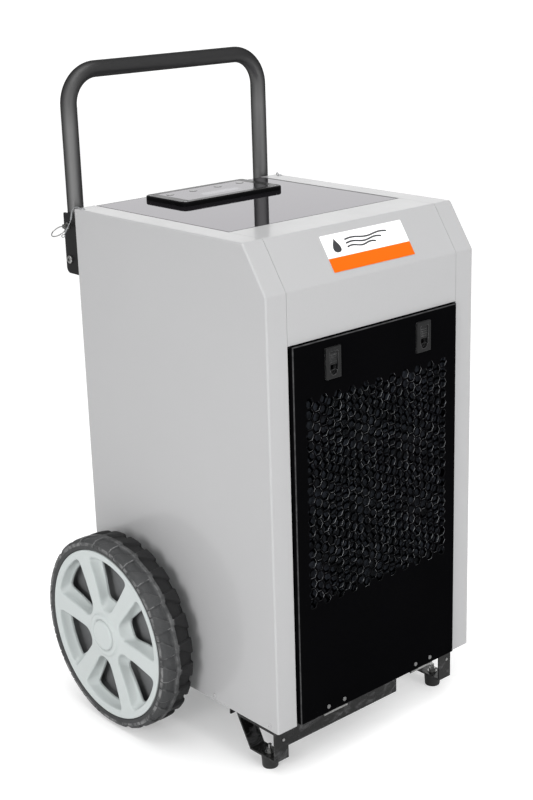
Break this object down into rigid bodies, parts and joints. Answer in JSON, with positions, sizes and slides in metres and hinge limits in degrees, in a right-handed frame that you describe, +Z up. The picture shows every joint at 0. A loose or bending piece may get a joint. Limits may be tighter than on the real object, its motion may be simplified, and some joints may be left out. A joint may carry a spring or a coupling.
{
  "type": "portable dehumidifier",
  "caption": "Upright sheet metal condensing dehumidifier on large rear wheels and front feet, with a folding push handle and a tilting perforated intake door.",
  "frame": {"origin": "on the floor, below the middle of the whole machine", "axes": "+Z up, -Y is the intake door side, +X to the right seen from the door"},
  "size_m": [0.6018, 0.4975, 1.0526],
  "materials": {
    "black_painted_steel": "gloss enamel",
    "black_plastic": "smooth moulded",
    "black_powder_coat": "semi-gloss powder coat",
    "black_rubber": "moulded rubber",
    "box_plastic": "moulded",
    "brass_fitting": "turned",
    "bush_nylon": "nylon",
    "button_plastic": "membrane key",
    "circuit_board": "solder mask",
    "coil_aluminium": "plain fin stock",
    "copper_pipe": "drawn copper",
    "cord_rubber": "extruded",
    "fan_plastic": "moulded",
    "filter_net": "woven net in moulded frame",
    "galvanised_steel": "galvanised",
    "gloss_black_door": "gloss black powder coat",
    "handle_powder_coat": "satin powder coat",
    "hose_rubber": "extruded",
    "label_film": "printed film",
    "latch_plastic": "moulded",
    "light_grey_panel": "gloss powder coat",
    "overlay_film": "printed polyester film",
    "rim_plastic": "moulded, light grey",
    "rivet_aluminium": "dull",
    "smoked_glass": "polished smoked glass",
    "tyre_rubber": "moulded rubber",
    "zinc_steel": "zinc plated"
  },
  "bodies": {
    "cabinet": {"axle_retainers": "zinc_steel", "base_pan": "galvanised_steel", "chassis_bolts": "zinc_steel", "compressor": "black_painted_steel", "compressor_mounts": "black_rubber", "condenser": "coil_aluminium", "control_board": "circuit_board", "control_housing": "black_plastic", "control_overlay": "overlay_film", "cord_hooks": "black_powder_coat", "drain_hose": "hose_rubber", "drain_spigot": "brass_fitting", "drip_tray": "galvanised_steel", "electrical_box": "box_plastic", "evaporator": "coil_aluminium", "fan_motor": "black_painted_steel", "fan_shroud": "galvanised_steel", "foot_brackets": "black_powder_coat", "foot_studs": "zinc_steel", "front_cross_member": "black_powder_coat", "front_label": "label_film", "front_panel": "light_grey_panel", "handle_bolts": "zinc_steel", "handle_brackets": "black_powder_coat", "hinge_base_leaves": "zinc_steel", "intake_frame": "galvanised_steel", "left_side_panel": "light_grey_panel", "panel_screws": "zinc_steel", "power_cord": "cord_rubber", "rear_panel": "light_grey_panel", "refrigerant_pipes": "copper_pipe", "retaining_cables": "zinc_steel", "right_side_panel": "light_grey_panel", "rubber_feet": "black_rubber", "stub_axles": "zinc_steel", "top_deck": "galvanised_steel", "top_glass": "smoked_glass"},
    "handle": {"handle_tube": "handle_powder_coat"},
    "lock_pin_left": {"lock_pin_left": "zinc_steel"},
    "lock_pin_right": {"lock_pin_right": "zinc_steel"},
    "wheel_left": {"wheel_rim_left": "rim_plastic", "wheel_tyre_left": "tyre_rubber", "hub_cap_left": "rim_plastic", "wheel_bush_left": "bush_nylon"},
    "wheel_right": {"wheel_rim_right": "rim_plastic", "wheel_tyre_right": "tyre_rubber", "hub_cap_right": "rim_plastic", "wheel_bush_right": "bush_nylon"},
    "door": {"front_door": "gloss_black_door", "latch_bezels": "latch_plastic", "hinge_door_leaves": "zinc_steel", "hinge_rivets": "rivet_aluminium", "air_filter": "filter_net"},
    "latch_left": {"latch_slider_left": "latch_plastic"},
    "latch_right": {"latch_slider_right": "latch_plastic"},
    "fan": {"fan_impeller": "fan_plastic"},
    "key_power": {"button_power": "button_plastic"},
    "key_mode": {"button_mode": "button_plastic"},
    "key_up": {"button_up": "button_plastic"},
    "key_down": {"button_down": "button_plastic"}
  },
  "joints": [
    {"name": "handle_fold", "type": "hinge", "parent": "cabinet", "child": "handle", "pos_m": [0, 0.2354, 0.745], "axis": [-1, 0, 0], "range_deg": [0, 180]},
    {"name": "lock_pin_left_pull", "type": "slide", "parent": "cabinet", "child": "lock_pin_left", "axis": [-1, 0, 0], "range_m": [0, 0.03]},
    {"name": "lock_pin_right_pull", "type": "slide", "parent": "cabinet", "child": "lock_pin_right", "axis": [1, 0, 0], "range_m": [0, 0.03]},
    {"name": "wheel_left_spin", "type": "hinge", "parent": "cabinet", "child": "wheel_left", "pos_m": [-0.26725, 0.0877, 0.161], "axis": [1, 0, 0], "continuous": true},
    {"name": "wheel_right_spin", "type": "hinge", "parent": "cabinet", "child": "wheel_right", "pos_m": [0.26725, 0.0877, 0.161], "axis": [1, 0, 0], "continuous": true},
    {"name": "door_tilt", "type": "hinge", "parent": "cabinet", "child": "door", "pos_m": [0, -0.2413, 0.08], "axis": [1, 0, 0], "range_deg": [0, 90]},
    {"name": "latch_left_slide", "type": "slide", "parent": "door", "child": "latch_left", "axis": [0, 0, -1], "range_m": [0, 0.008]},
    {"name": "latch_right_slide", "type": "slide", "parent": "door", "child": "latch_right", "axis": [0, 0, -1], "range_m": [0, 0.008]},
    {"name": "fan_spin", "type": "hinge", "parent": "cabinet", "child": "fan", "pos_m": [0, -0.0503, 0.511], "axis": [0, 1, 0], "continuous": true},
    {"name": "key_power_press", "type": "slide", "parent": "cabinet", "child": "key_power", "axis": [0, 0, -1], "range_m": [0, 0.0006], "stiffness_N_per_m": 800},
    {"name": "key_mode_press", "type": "slide", "parent": "cabinet", "child": "key_mode", "axis": [0, 0, -1], "range_m": [0, 0.0006], "stiffness_N_per_m": 800},
    {"name": "key_up_press", "type": "slide", "parent": "cabinet", "child": "key_up", "axis": [0, 0, -1], "range_m": [0, 0.0006], "stiffness_N_per_m": 800},
    {"name": "key_down_press", "type": "slide", "parent": "cabinet", "child": "key_down", "axis": [0, 0, -1], "range_m": [0, 0.0006], "stiffness_N_per_m": 800}
  ]
}
